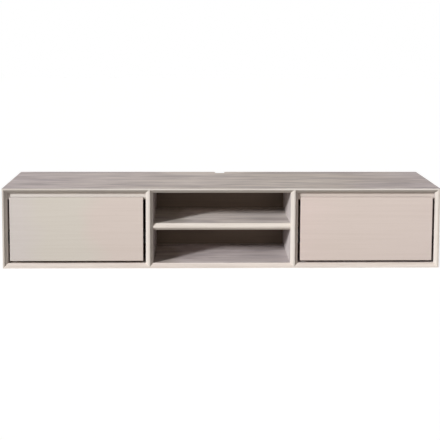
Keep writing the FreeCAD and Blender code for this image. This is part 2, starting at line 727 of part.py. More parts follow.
def lipped_channel(web, lips, half_height, sign):
    """A channel folded towards the drawer, with turned lips. Web and lips are the depths of its
    web's outer face and of its lips' outer face, measured from the wall."""
    return mirrored_section(
        [
            (web, f"(-{half_height})"),
            (lips, f"(-{half_height})"),
            (lips, f"(-{half_height} + slide_sheet + track_lip)"),
            (f"({lips} - slide_sheet)", f"(-{half_height} + slide_sheet + track_lip)"),
            (f"({lips} - slide_sheet)", f"(-{half_height} + slide_sheet)"),
            (f"({web} + slide_sheet)", f"(-{half_height} + slide_sheet)"),
        ],
        sign,
    )


def plain_channel(web_face, edge, half_height, sign):
    """A channel folded back towards the cabinet, from its web's inner face to its edge."""
    return mirrored_section(
        [
            (f"({web_face} + slide_sheet)", f"(-{half_height})"),
            (edge, f"(-{half_height})"),
            (edge, f"(-{half_height} + slide_sheet)"),
            (web_face, f"(-{half_height} + slide_sheet)"),
        ],
        sign,
    )


def build_slide(side, centre, hand, sign):
    """Three nested steel channels: one on the cabinet, one between, one on the drawer box."""
    drawer_edge = f"({MIDDLE_WEB} + slide_sheet + inner_setback)"
    members = (
        ("cabinet_member", "0", lipped_channel("0", CABINET_LIPS, CABINET_HALF, sign)),
        ("middle_member", MIDDLE_WEB, lipped_channel(MIDDLE_WEB, MIDDLE_LIPS, MIDDLE_HALF, sign)),
        ("drawer_member", DRAWER_WEB, plain_channel(DRAWER_WEB, drawer_edge, DRAWER_HALF, sign)),
    )
    for name, web, section in members:
        body = new_body(f"{side}_drawer_{hand}_{name}", x=centre)
        add(body, "xz", SLIDE_START, BOX_END, [section])
        faces = (across_slide(sign, web), across_slide(sign, f"({web} + slide_sheet)"))
        low, high = grown(*(faces[::-1] if sign > 0 else faces), "cut_overrun")
        if name == "middle_member":
            cut(body, "yz", low, high, [window_outline(depth) for depth in slide_screw_depths()])
        else:
            holes = [(depth, SLIDE_CENTRE, SCREW_HOLE) for depth in slide_screw_depths()]
            cut(body, "yz", low, high, circles=holes)


def window_outline(depth):
    """The opening in a middle member through which a driver reaches a cabinet screw."""
    near_end, far_end = grown(depth, depth, "window_length / 2")
    return rectangle(near_end, far_end, *grown(SLIDE_CENTRE, SLIDE_CENTRE, "window_height / 2"))


def build_ball_cages(side, centre):
    """The strips that keep the balls apart, in the tracks above and below the middle and the
    drawer member of both slides."""
    tracks = (
        ("outer", "0", CABINET_LIPS, CABINET_HALF),
        ("inner", MIDDLE_WEB, MIDDLE_LIPS, MIDDLE_HALF),
    )
    middle = f"(({SLIDE_START} + {BOX_END}) / 2)"
    for name, web, lips, half_height in tracks:
        strips = []
        for hand, sign in SIDES:
            across = across_slide(sign, f"(({web} + {lips}) / 2)")
            for up in (-1, 1):
                level = f"({SLIDE_CENTRE} + ({up}) * ({half_height} - slide_sheet - ball_track / 2))"
                spans = (
                    grown(across, across, "cage_width / 2"),
                    grown(middle, middle, "cage_length / 2"),
                    grown(level, level, "cage_thickness / 2"),
                )
                strips.append(block(f"{side}_{name}_strip_{hand}_{'upper' if up > 0 else 'lower'}", spans))
        group(f"{side}_{name}_ball_cages", strips, x=centre)


def build_slide_screws(side, centre):
    for name, head, towards in (
        ("cabinet_screws", "slide_sheet", 1),
        ("drawer_screws", DRAWER_WEB, -1),
    ):
        screws = []
        for hand, sign in SIDES:
            level = f"({sign} * ({BAY} / 2 - {head}))"
            for place, depth in enumerate(slide_screw_depths()):
                label = f"{side}_{name}_{hand}_{place}"
                places = (depth, SLIDE_CENTRE)
                screws.append(screw(label, "x", level, sign * towards, places, "slide_screw_length"))
        group(f"{side}_{name}", screws, x=centre)


def build_drawer(side, sign):
    centre = f"({sign} * {BAY_PITCH})"
    build_drawer_front(side, centre)
    build_drawer_box(side, centre)
    for hand, hand_sign in SIDES:
        build_slide(side, centre, hand, hand_sign)
    build_ball_cages(side, centre)
    build_slide_screws(side, centre)


def check_and_export():
    doc.recompute()
    for item in doc.Objects:
        bad = [state for state in item.State if state in ("Invalid", "Error")]
        if bad:
            raise RuntimeError(f"{item.Label} is {bad[0]}")
    for piece in pieces:
        shape = piece.Shape
        if shape.isNull() or not shape.isValid() or not shape.Solids:
            raise RuntimeError(f"{piece.Label} has no sound solid")
        shape.exportStep(f"parts/{piece.Label}.step")
        print(f"{piece.Label}: {len(shape.Solids)} solids, {shape.Volume:.0f} cubic mm")


build_top()
build_level_board("bottom_panel", -1)
for side_name, side_sign in SIDES:
    build_side_board(side_name, side_sign)
    build_divider(side_name, side_sign)
build_shelf()
build_frame_tongues()
build_middle_back()
for side_name, side_sign in SIDES:
    build_bay_backs(side_name, side_sign)
    build_stop_rail(side_name, side_sign)
    build_drawer(side_name, side_sign)
check_and_export()
print(f"{len(pieces)} pieces")
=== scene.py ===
# %% [markdown]
# A wall-hung television unit in whitewashed wood. Four boards, mitred at the corners, make the
# frame, two dividers part it into three bays, and each side bay holds a drawer without a handle.
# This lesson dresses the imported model: it lights it, gives each piece its real finish, and
# adds the small metal parts that are worth more than a plain solid. Everything is in metres.

# %% Load the frame
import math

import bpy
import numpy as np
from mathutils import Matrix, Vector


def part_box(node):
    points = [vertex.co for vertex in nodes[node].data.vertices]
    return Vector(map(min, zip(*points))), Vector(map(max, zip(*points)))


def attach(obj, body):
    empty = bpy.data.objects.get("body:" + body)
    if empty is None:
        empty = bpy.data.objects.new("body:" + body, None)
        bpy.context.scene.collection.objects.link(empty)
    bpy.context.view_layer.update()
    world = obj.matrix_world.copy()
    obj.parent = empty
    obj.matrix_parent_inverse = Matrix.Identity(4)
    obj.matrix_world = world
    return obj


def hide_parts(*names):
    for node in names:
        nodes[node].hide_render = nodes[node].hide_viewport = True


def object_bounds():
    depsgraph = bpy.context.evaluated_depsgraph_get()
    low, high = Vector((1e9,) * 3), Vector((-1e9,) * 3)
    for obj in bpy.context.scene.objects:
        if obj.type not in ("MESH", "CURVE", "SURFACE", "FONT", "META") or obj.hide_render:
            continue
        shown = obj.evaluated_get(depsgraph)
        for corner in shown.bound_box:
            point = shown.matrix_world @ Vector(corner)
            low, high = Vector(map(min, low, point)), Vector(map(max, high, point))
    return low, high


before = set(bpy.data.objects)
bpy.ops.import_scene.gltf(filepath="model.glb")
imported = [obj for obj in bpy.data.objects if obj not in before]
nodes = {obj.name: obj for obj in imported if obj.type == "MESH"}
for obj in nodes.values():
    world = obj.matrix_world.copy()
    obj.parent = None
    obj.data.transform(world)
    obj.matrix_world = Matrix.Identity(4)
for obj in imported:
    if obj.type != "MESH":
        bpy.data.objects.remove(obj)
cad_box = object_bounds()

# %% [markdown]
# The solids arrive as Blender objects that already stand in their places. Their shapes belong to
# the construction and stay as they are, so here they only get materials. New pieces could be
# modelled by hand with Blender's tools, but worked out with numpy they have exact sizes and come
# out the same each time. The box round all solids is kept, and the floor and the tones along the
# boards are set from it.

MM = 0.001
cad_low, cad_high = cad_box
print("nodes:", len(nodes), "box:", [round(value, 3) for value in cad_high - cad_low])

# %% [markdown]
# The camera stands a little left of the middle, a good three and a half metres before the unit,
# and looks down on it. A real photographer would lower the film against the lens, so that the
# upright edges stay upright, and the vertical shift does that here. The place and the angles were
# fitted to the corners of the unit in the photograph.

# %% Camera
CAMERA_PLACE = (-0.0976, -3.7073, 0.9008)
CAMERA_TURN = math.radians(1.443)
CAMERA_DIP = math.radians(5.181)
CAMERA_ROLL = math.radians(-0.228)
LENS_MM = 79.68
SENSOR_MM = 36
LENS_SHIFT = -0.25


def make_camera():
    """Points the lens along +Y, turns it to the right, dips it, and rolls it on its own axis."""
    lens = bpy.data.cameras.new("camera")
    lens.sensor_width = SENSOR_MM
    lens.lens = LENS_MM
    lens.shift_y = LENS_SHIFT
    camera = bpy.data.objects.new("camera", lens)
    bpy.context.scene.collection.objects.link(camera)
    turn = Matrix.Rotation(-CAMERA_TURN, 4, "Z")
    dip = Matrix.Rotation(math.pi / 2 - CAMERA_DIP, 4, "X")
    roll = Matrix.Rotation(-CAMERA_ROLL, 4, "Z")
    camera.matrix_world = Matrix.Translation(CAMERA_PLACE) @ turn @ dip @ roll
    bpy.context.scene.camera = camera
    return camera


print("camera at", [round(value, 3) for value in make_camera().location])

# %% [markdown]
# Materials are graphs of nodes. They could be clicked together by hand, but written as code they
# can be read and repeated. Two small helpers keep the graphs short: one turns the colour that a
# painter would write, an sRGB hex value, into the linear light that the renderer adds up, and
# one adds a node with its settings and its links in a single call.

# %% Helpers for materials
# The sockets of a Mix node that mixes colours: its share, the colour under it, the colour over
# it, and the output.
SHARE, UNDER, OVER, MIXED = 0, 6, 7, 2


def linear(hex_colour):
    """Each channel, from 0 to 1, is divided by 12.92 where it is at most 0.04045. Above that,
    0.055 is added, the sum is divided by 1.055 and raised to the power 2.4."""
    channels = np.array([int(hex_colour[start:start + 2], 16) for start in (0, 2, 4)]) / 255
    curved = ((channels + 0.055) / 1.055) ** 2.4
    return (*np.where(channels <= 0.04045, channels / 12.92, curved), 1.0)


def add_node(tree, kind, inputs=(), **settings):
    """Adds a node. Settings are its own properties. Inputs are pairs of a socket, by name or
    number, and a value, an output to link, or a node whose first output is linked. Values in
    enumerate() go to the sockets in their order."""
    node = tree.nodes.new(kind)
    for name, value in settings.items():
        setattr(node, name, value)
    for socket, value in inputs:
        if isinstance(value, bpy.types.Node):
            value = value.outputs[0]
        if isinstance(value, bpy.types.NodeSocket):
            tree.links.new(value, node.inputs[socket])
        else:
            node.inputs[socket].default_value = value
    return node


def new_material(name):
    """Starts a material with an empty graph, and gives both."""
    material = bpy.data.materials.new(name)
    material.use_nodes = True
    material.node_tree.nodes.clear()
    return material, material.node_tree


print("half grey in linear light:", [round(value, 3) for value in linear("808080")[:3]])

# %% [markdown]
# The studio has three lights. The key is one big soft lamp, high on the left before the unit, that
# throws the divider's shadow slantwise over the shelf, as the photograph has it. An area lamp could
# do that, but it would fall off along the unit, so a sun lamp with a wide angle makes the left and
# the right drawer equally bright. A wide, slightly warm screen behind the camera, low as a window
# is, fills the faces that the key leaves in shade, the bevels and noses.

# %% Lamp and fill
LIGHT_PATH = Vector((1.0, 1.0, -0.55))
LAMP_STRENGTH = 3.7
LAMP_ANGLE = math.radians(9)
FILL_PLACE = Vector((0.4, -6.0, 0.4))
FILL_WIDTH, FILL_HEIGHT = 4.0, 1.2
FILL_WATTS = 60
FILL_COLOUR = "FFEEDF"


def make_lamp():
    """Turns the lamp so that its own -Z axis lies along the path of the light."""
    sun = bpy.data.lights.new("soft_lamp", "SUN")
    sun.energy = LAMP_STRENGTH
    sun.angle = LAMP_ANGLE
    lamp = bpy.data.objects.new("soft_lamp", sun)
    bpy.context.scene.collection.objects.link(lamp)
    lamp.rotation_mode = "QUATERNION"
    lamp.rotation_quaternion = LIGHT_PATH.to_track_quat("-Z", "Y")


def make_fill():
    """A wide screen behind the camera, turned to face the middle of the unit."""
    screen = bpy.data.lights.new("fill_screen", "AREA")
    screen.shape = "RECTANGLE"
    screen.size, screen.size_y = FILL_WIDTH, FILL_HEIGHT
    screen.energy = FILL_WATTS
    screen.color = linear(FILL_COLOUR)[:3]
    fill = bpy.data.objects.new("fill_screen", screen)
    bpy.context.scene.collection.objects.link(fill)
    fill.location = FILL_PLACE
    fill.rotation_mode = "QUATERNION"
    fill.rotation_quaternion = (-FILL_PLACE).to_track_quat("-Z", "Y")


make_lamp()
make_fill()
lamp_height = math.degrees(math.asin(-LIGHT_PATH.normalized().z))
print("the lamp stands", round(lamp_height, 1), "degrees above the horizon")

# %% [markdown]
# The third light is the room. It is white to the camera and in reflections, and gives a weak
# light of its own, stronger from the ceiling than from the walls, so that the top is bright and
# the depth of the bays stays dark. An even grey world would be simpler, but it would light the
# backs as much as the top.

# %% Room
WALL_LIGHT, CEILING_LIGHT = 0.04, 0.26
ROOM_COLOUR = "FFFFFF"


def seen_directly(tree):
    """Gives 1 for rays from the camera, a reflection or a glass, and 0 for scattered light."""
    rays = add_node(tree, "ShaderNodeLightPath").outputs
    either = add_node(tree, "ShaderNodeMath", enumerate((rays["Is Camera Ray"], rays["Is Glossy Ray"])),
                      operation="MAXIMUM")
    return add_node(tree, "ShaderNodeMath", enumerate((either, rays["Is Transmission Ray"])),
                    operation="MAXIMUM")


def make_room():
    """The world's strength is 1 where it is seen directly. Elsewhere it rises from WALL_LIGHT at
    the horizon and below to CEILING_LIGHT straight above."""
    world = bpy.data.worlds.new("pale_room")
    world.use_nodes = True
    tree = world.node_tree
    tree.nodes.clear()
    direction = add_node(tree, "ShaderNodeTexCoord").outputs["Generated"]
    height = add_node(tree, "ShaderNodeSeparateXYZ", [(0, direction)]).outputs["Z"]
    weak = add_node(tree, "ShaderNodeMapRange", [
        ("Value", height), ("To Min", WALL_LIGHT), ("To Max", CEILING_LIGHT)])
    strength = add_node(tree, "ShaderNodeMapRange", [("Value", seen_directly(tree)), ("To Min", weak)])
    light = add_node(tree, "ShaderNodeBackground",
                     [("Color", linear(ROOM_COLOUR)), ("Strength", strength)])
    add_node(tree, "ShaderNodeOutputWorld", [("Surface", light)])
    bpy.context.scene.world = world
    return world


room = make_room()
bpy.context.scene.view_settings.view_transform = "Standard"
print("room:", room.name, "with", len(room.node_tree.nodes), "nodes")

# %% [markdown]
# The floor is a plain pale sheet just under the unit. To the camera it glows a little, as
# paper on a light table does, so that it is as white as the photograph's ground where the
# lamp reaches it, and still shows the shadow of the unit. More light on the floor would do that
# too, but it would bleach the wood.

# %% Floor
FLOOR_HALF = 12.0
FLOOR_DROP = 0.5 * MM
FLOOR_COLOUR = "8E8D8B"
FLOOR_GLOW = 0.84


def make_floor():
    """A square of FLOOR_HALF to each side, a hair under the unit."""
    corners = np.array([(-1, -1), (1, -1), (1, 1), (-1, 1)]) * FLOOR_HALF
    points = np.column_stack([corners, np.full(4, cad_low.z - FLOOR_DROP)])
    mesh = bpy.data.meshes.new("floor")
    mesh.from_pydata(points.tolist(), [], [(0, 1, 2, 3)])
    floor = bpy.data.objects.new("floor", mesh)
    bpy.context.scene.collection.objects.link(floor)
    # Matt paper scatters the light evenly, so it shows a soft shadow and no shine.
    material, tree = new_material("matt_pale_paper")
    paper = add_node(tree, "ShaderNodeBsdfDiffuse", [("Color", linear(FLOOR_COLOUR))])
    strength = add_node(tree, "ShaderNodeMath", enumerate((seen_directly(tree), FLOOR_GLOW)),
                        operation="MULTIPLY")
    glow = add_node(tree, "ShaderNodeEmission", [("Strength", strength)])
    both = add_node(tree, "ShaderNodeAddShader", enumerate((paper, glow)))
    add_node(tree, "ShaderNodeOutputMaterial", [("Surface", both)])
    mesh.materials.append(material)


make_floor()
print("floor at", round(cad_low.z - FLOOR_DROP, 4))

# %% [markdown]
# The wood was bleached and rubbed with thin white paint, then sealed with matt lacquer. The wash
# evens out the colour and leaves five traces of the tree: a tone that drifts along the board,
# streaks where the paint soaked in unevenly, the lines of the years, fine fibres, and small pores
# that hold less white. A photograph of a board could be wrapped round each piece, but noise that
# is stretched along the grain has no seams, and it runs from face to face as it does in solid wood.

# %% Patterns of wood
# Each pattern's length along the grain and width across it, then its noise's detail, roughness
# and distortion. Real years and fibres are finer than the render can show, so both are a few
# times as wide.
STREAK = (270 * MM, 50 * MM, 3.0, 0.6, 0.4)
YEAR = (520 * MM, 11 * MM, 2.0, 0.5, 0.3)
FIBRE = (140 * MM, 3.2 * MM, 3.0, 0.6, 0.0)
PORE = (22 * MM, 1.6 * MM, 1.0, 0.5, 0.0)
CLOUD = (300 * MM, 180 * MM, 2.0, 0.5, 0.0)


def grain_noise(tree, axis, length, width, detail, roughness, distortion):
    """Noise at the object coordinates, divided by a length along one axis and a width across."""
    place = add_node(tree, "ShaderNodeTexCoord").outputs["Object"]
    scale = [1 / length if letter == axis else 1 / width for letter in "xyz"]
    stretched = add_node(tree, "ShaderNodeVectorMath", enumerate((place, scale)), operation="MULTIPLY")
    return add_node(tree, "ShaderNodeTexNoise", [
        ("Vector", stretched), ("Scale", 1.0), ("Detail", detail), ("Roughness", roughness),
        ("Distortion", distortion)])


print("widths, mm:", [round(pattern[1] / MM, 1) for pattern in (STREAK, YEAR, FIBRE, PORE, CLOUD)])

# %% [markdown]
# The noses and bevels get a tone of their own and almost no streaks. That split of tone between
# edges and broad faces is painted light, set to how bright each should look under these lamps.
# They could be given a material of their own, but the solids come as one skin each, and the
# direction that a face looks in tells them apart.

# %% Faces and edges
# A face's direction is an arrow of length 1. An edge becomes a broad face as the arrow's part
# along X or Z passes through the first range, and a bevel that looks down, which gets painted
# shade, as its part along Z passes through the second.
BROAD_RANGE, DOWN_SHADE_RANGE = (0.8, 0.9), (-0.5, -0.6)


def facing(tree):
    """Gives two shares: 1 on a broad face, which looks along X or Z, and 1 on a bevel that
    looks down, the mask of painted shade. The second may be below 0, which a mix reads as 0."""
    normal = add_node(tree, "ShaderNodeTexCoord").outputs["Normal"]
    along = add_node(tree, "ShaderNodeSeparateXYZ", [(0, normal)]).outputs
    sizes = [add_node(tree, "ShaderNodeMath", [(0, along[letter])], operation="ABSOLUTE")
             for letter in "XZ"]
    larger = add_node(tree, "ShaderNodeMath", enumerate(sizes), operation="MAXIMUM")
    broad = add_node(tree, "ShaderNodeMapRange", enumerate((larger, *BROAD_RANGE)))
    down = add_node(tree, "ShaderNodeMapRange", enumerate((along["Z"], *DOWN_SHADE_RANGE)))
    return broad, add_node(tree, "ShaderNodeMath", enumerate((down, broad)), operation="SUBTRACT")


print("a face is broad where its direction is over", BROAD_RANGE[1], "along X or Z")

# %% [markdown]
# No board has one tone from end to end, because the plank did not, and the wash took more here and
# less there. On the shelf and the bottom the drift also holds painted light and shade. The tones
# could be painted on, but a ramp along the length, whose borders are pushed about by slow clouds
# of noise, gives a drift that can be read and set as a list.

# %% Tones along a board
CLOUD_RANGE = (0.3, 0.7)
WOBBLE, SMALL_WOBBLE = 150 * MM, 50 * MM


def drifting_tone(tree, stops, wobble):
    """The tone goes from stop to stop along X. A stop is a place, from 0 at the left end of the
    unit to 1 at the right end, and a hex value. Clouds move the borders by up to the wobble."""
    place = add_node(tree, "ShaderNodeTexCoord").outputs["Object"]
    x = add_node(tree, "ShaderNodeSeparateXYZ", [(0, place)]).outputs["X"]
    clouds = grain_noise(tree, "x", *CLOUD)
    shift = add_node(tree, "ShaderNodeMapRange", enumerate((clouds, *CLOUD_RANGE, -wobble, wobble)))
    moved = add_node(tree, "ShaderNodeMath", enumerate((x, shift)), operation="ADD")
    along = add_node(tree, "ShaderNodeMapRange", enumerate((moved, cad_low.x, cad_high.x)))
    ramp = add_node(tree, "ShaderNodeValToRGB", [("Fac", along)])
    elements = ramp.color_ramp.elements
    while len(elements) < len(stops):
        elements.new(1.0)
    for element, (position, tone) in zip(elements, stops):
        element.position = position
        element.color = linear(tone)
    return ramp.outputs["Color"]


print("tones drift from x", round(cad_low.x, 3), "to", round(cad_high.x, 3))

# %% [markdown]
# The other four traces are streaks, years, fibres and pores, and noise draws them as well. Each
# could be a ramp of colours, but then it would hide what is under it. A share between nothing
# and all, which rises with the noise, lets each lie over the drifting tone as a thin glaze.

# %% Traces of the grain
# The noise values between which a trace grows from nothing to its full share.
STREAK_RANGE, YEAR_RANGE = (0.62, 0.36), (0.45, 0.62)
FIBRE_RANGE, PORE_RANGE = (0.3, 0.7), (0.66, 0.78)
STREAKS_ON_EDGES, YEAR_SHARE, FIBRE_SHARE, PORE_SHARE = 0.2, 0.2, 0.16, 0.35


def wood_traces(tree, grain, broad, strength):
    """Gives the shares of the streaks, the years, the fibres and the pores. Each grows from 0 to
    its full share as its noise passes through its range. The last three are scaled by the
    strength, and streaks keep only STREAKS_ON_EDGES of theirs off the broad faces. Gives also,
    for the relief, the fibres' noise and how open the pores are, from 0 to 1."""
    soaked = add_node(tree, "ShaderNodeMapRange", enumerate((
        grain_noise(tree, grain, *STREAK), *STREAK_RANGE)))
    bare = add_node(tree, "ShaderNodeMapRange", enumerate((broad, 0.0, 1.0, STREAKS_ON_EDGES, 1.0)))
    streaks = add_node(tree, "ShaderNodeMath", enumerate((soaked, bare)), operation="MULTIPLY")
    years = add_node(tree, "ShaderNodeMapRange", enumerate((
        grain_noise(tree, grain, *YEAR), *YEAR_RANGE, 0.0, YEAR_SHARE * strength)))
    fibre_noise = grain_noise(tree, grain, *FIBRE)
    fibres = add_node(tree, "ShaderNodeMapRange", enumerate((
        fibre_noise, *FIBRE_RANGE, 0.0, FIBRE_SHARE * strength)))
    open_pores = add_node(tree, "ShaderNodeMapRange", enumerate((
        grain_noise(tree, grain, *PORE), *PORE_RANGE)))
    pores = add_node(tree, "ShaderNodeMath", enumerate((open_pores, PORE_SHARE * strength)),
                     operation="MULTIPLY")
    return (streaks, years, fibres, pores), fibre_noise, open_pores


print("full shares of years, fibres and pores:", YEAR_SHARE, FIBRE_SHARE, PORE_SHARE)

# %% [markdown]
# One function makes every wood of the unit, because they differ only in their tones and in how
# strong the traces are. The colour is built up as the finisher did it, layer on layer, and each
# layer is a share of a tone that is laid over, or multiplied into, what is under it.

# %% A wood with its finish
# A matt lacquer scatters most of what it reflects, so its mirror share is below that of a gloss.
LACQUER_SHINE = 0.2
LACQUER_ROUGHNESS = (0.52, 0.62)
RELIEF_STRENGTH, RELIEF_DEPTH = 0.35, 0.15 * MM


def finished_wood(name, grain, stops, pore_tone, streak_tint, edge_tone=None, painted_shade_tint="FFFFFF",
                  fade_tint="FFFFFF", wobble=WOBBLE, traces=1.0):
    """Stops give the drifting tone. Where an edge tone is given, it is laid on all that isn't a
    broad face, a split that is painted light. The tints multiply: on bevels that look down as
    painted shade, in streaks, and from the top of the unit to its foot. Traces scales the years,
    the fibres and the pores."""
    material, tree = new_material(name)
    broad, below = facing(tree)
    colour = drifting_tone(tree, stops, wobble)
    if edge_tone:
        colour = add_node(tree, "ShaderNodeMix", [
            (SHARE, broad), (UNDER, linear(edge_tone)), (OVER, colour)], data_type="RGBA").outputs[MIXED]
    place = add_node(tree, "ShaderNodeTexCoord").outputs["Object"]
    height = add_node(tree, "ShaderNodeSeparateXYZ", [(0, place)]).outputs["Z"]
    fall = add_node(tree, "ShaderNodeMapRange", enumerate((height, cad_high.z, cad_low.z)))
    (streaks, years, fibres, pores), fibre_noise, open_pores = wood_traces(tree, grain, broad, traces)
    # The first tint darkens bevels that look down: painted shade.
    for share, tone, blend in ((below, painted_shade_tint, "MULTIPLY"), (fall, fade_tint, "MULTIPLY"),
                               (streaks, streak_tint, "MULTIPLY"), (years, pore_tone, "MIX"),
                               (fibres, pore_tone, "MIX"), (pores, pore_tone, "MIX")):
        colour = add_node(tree, "ShaderNodeMix", [(SHARE, share), (UNDER, colour), (OVER, linear(tone))],
                          data_type="RGBA", blend_type=blend).outputs[MIXED]
    relief = add_node(tree, "ShaderNodeMath", enumerate((fibre_noise, open_pores)), operation="SUBTRACT")
    bump = add_node(tree, "ShaderNodeBump", [
        ("Height", relief), ("Strength", RELIEF_STRENGTH), ("Distance", RELIEF_DEPTH)])
    shine = add_node(tree, "ShaderNodeMapRange", enumerate((
        fibre_noise, *FIBRE_RANGE, *LACQUER_ROUGHNESS)))
    surface = add_node(tree, "ShaderNodeBsdfPrincipled", [
        ("Base Color", colour), ("Roughness", shine), ("Specular IOR Level", LACQUER_SHINE),
        ("Normal", bump)])
    add_node(tree, "ShaderNodeOutputMaterial", [("Surface", surface)])
    return material


print("lacquer roughness:", LACQUER_ROUGHNESS)

# %% [markdown]
# Each board was cut from a different plank, and the wash took a little differently on each, so
# the top, the bottom, the shelf, the uprights and the two rails have their own tones. One tone for
# all would be simpler, but then the unit looks moulded rather than joined. The shelf and the bottom
# carry painted light and shade along their length: darker at the left of the open bay where the
# divider's shadow lies, palest a hand's width in where the lamp's light falls, and darker again
# towards the right. The drawer fronts are the calmest boards, warm greige with a faint pink to the
# right. The backs are a nearly black brown, painted shade for the depth behind the open bay.

# %% Tones of the boards
WASH_PORE, BACK_SHADE_PORE = "A0917F", "4E443B"
STREAK_TINT, FAINT_STREAK = "D3D1D5", "FAFAFA"
TOP_STOPS = [(0.0, "DED1D0"), (0.25, "E2D5D0"), (0.6, "E1D5CB"), (0.8, "D3C6BE"), (1.0, "D7CACA")]
FRONT_STOPS = [(0.03, "CDC6C2"), (0.1, "CEC8BF"), (0.18, "CEC8BF"), (0.23, "D1C5BE"),
               (0.62, "D1C5BE"), (0.68, "D5C6C0"), (0.8, "D2C5BE"), (1.0, "D1C4BE")]
# The bottom's and the shelf's stops paint shade where the divider's shadow lies and light where the
# lamp's light falls.
BOTTOM_LIGHT_AND_SHADE_STOPS = [(0.38, "D3C9C1"), (0.405, "F2E8E7"), (0.47, "E8DEDE"), (0.56, "DAD1D2"),
                (0.65, "CEC6C7")]
SHELF_LIGHT_AND_SHADE_STOPS = [(0.385, "E2DCD2"), (0.41, "FAF3EE"), (0.5, "F3EBE6"), (0.58, "E1DBD8"),
               (0.66, "DBD5D2")]
UPRIGHT_STOPS = [(0.0, "D0CACA"), (1.0, "D0CACA")]
LEFT_RAIL_STOPS = [(0.0, "CDC9C5"), (1.0, "C9C2BA")]
RIGHT_RAIL_STOPS = [(0.0, "C5BCB6"), (1.0, "C5BCB6")]
# The backs' near-black tone is painted shade for the depth of the bays.
BACK_SHADE_STOPS = [(0.0, "665A50"), (1.0, "665A50")]
palest = max(SHELF_LIGHT_AND_SHADE_STOPS, key=lambda stop: sum(linear(stop[1])))[0]
print("the shelf is palest at x", round(cad_low.x + palest * (cad_high.x - cad_low.x), 3))

# %% [markdown]
# The woods themselves follow. Boards of one kind could share a material, but the edge tones of the
# top, the bottom, the shelf and the uprights differ too, and each is set as painted light.

# %% Whitewashed and stained wood
frame_wood = {
    # Pale wash sanded thin, which lets cool streaks show through along the board.
    # The top's edge tone is painted light, and its darker bevels that look down are painted shade.
    "top_panel": finished_wood("whitewashed_top", "x", TOP_STOPS, WASH_PORE, STREAK_TINT,
                               edge_tone="D9D4CE", painted_shade_tint="DEDCDA"),
    # The bottom's and the shelf's edge tones are painted light, and their tones along the open bay paint
    # light and shade.
    "bottom_panel": finished_wood("whitewashed_bottom", "x", BOTTOM_LIGHT_AND_SHADE_STOPS, WASH_PORE, STREAK_TINT,
                                  edge_tone="E0D7D0", wobble=SMALL_WOBBLE),
    "middle_shelf": finished_wood("whitewashed_shelf", "x", SHELF_LIGHT_AND_SHADE_STOPS, WASH_PORE, STREAK_TINT,
                                  edge_tone="E4DDD5", wobble=SMALL_WOBBLE),
    # Thicker wash on the narrow rails behind the fingers, which leaves them plain.
    "left_stop_rail": finished_wood("whitewashed_left_rail", "x", LEFT_RAIL_STOPS, WASH_PORE,
                                    FAINT_STREAK, traces=0.5),
    "right_stop_rail": finished_wood("whitewashed_right_rail", "x", RIGHT_RAIL_STOPS, WASH_PORE,
                                     FAINT_STREAK, traces=0.5),
}
# Upright grain with weak streaks, so that the sides seem to flow round the mitres.
# The uprights' edge tone against their faces is painted light, as on the other boards.
upright_wood = finished_wood("whitewashed_uprights", "z", UPRIGHT_STOPS, WASH_PORE, "E4E2E4",
                             edge_tone="D2CCC6")
# The same wash and tones as the bottom's, painted light and shade included, on the rails behind
# the backs, which face the wall.
rail_wood = finished_wood("whitewashed_hanging_rails", "x", BOTTOM_LIGHT_AND_SHADE_STOPS, WASH_PORE, STREAK_TINT)
# An even, smooth wash whose tone changes slowly, a shade darker towards the foot.
front_wood = finished_wood("whitewashed_drawer_front", "x", FRONT_STOPS, WASH_PORE, FAINT_STREAK,
                           fade_tint="F4F4F4", wobble=SMALL_WOBBLE, traces=0.3)
# A near-black brown that stands for the deep shade behind the bays, painted shade, with the
# fibres still visible.
painted_shade_back_wood = finished_wood("back_board_painted_shade", "x", BACK_SHADE_STOPS, BACK_SHADE_PORE, "EEEEEE")
print("washed:", [wood.name for wood in (*frame_wood.values(), upright_wood, rail_wood, front_wood)])

# %% [markdown]
# The drawer boxes never face the room, so they stay plain birch under clear lacquer: warmer and
# darker than the wash, with the same traces. The loose tongues of birch plywood share it, since
# the joints hide them. One plain tan would do for a drawer that stays shut, but these open, and
# then the grain shows which way each board runs.

# %% Birch
BIRCH_STOPS = [(0.0, "D2B690"), (1.0, "D6BC98")]
BIRCH_PORE, BIRCH_STREAK = "9C7A52", "E8DCC8"
# Clear lacquer deepens birch to a calm honey tone with fine darker lines.
birch = {axis: finished_wood("lacquered_birch_along_" + axis, axis, BIRCH_STOPS, BIRCH_PORE,
                             BIRCH_STREAK) for axis in "xy"}
print("birch:", [wood.name for wood in birch.values()])

# %% [markdown]
# The slides are rolled from steel sheet and dipped in black electro-coat, a thin even paint with
# a satin sheen. Rolling leaves fine lines along the slide, and a coat as thin as this keeps them.
# The screws are zinc plated, so they stay metal: pale grey, with soft reflections. The balls
# between the members are the one bright thing in there, ground and polished bare steel.
# Brushed metal could be drawn with anisotropic shine, but on parts this small a noise that is
# drawn out along the slide says the same.

# %% Metals
ROLL = (120 * MM, 0.8 * MM, 2.0, 0.5, 0.0)
LINE_RANGE = (0.35, 0.65)
LINE_STRENGTH, LINE_DEPTH = 0.2, 0.02 * MM
DULLER, GLOSSIER = 0.08, -0.05


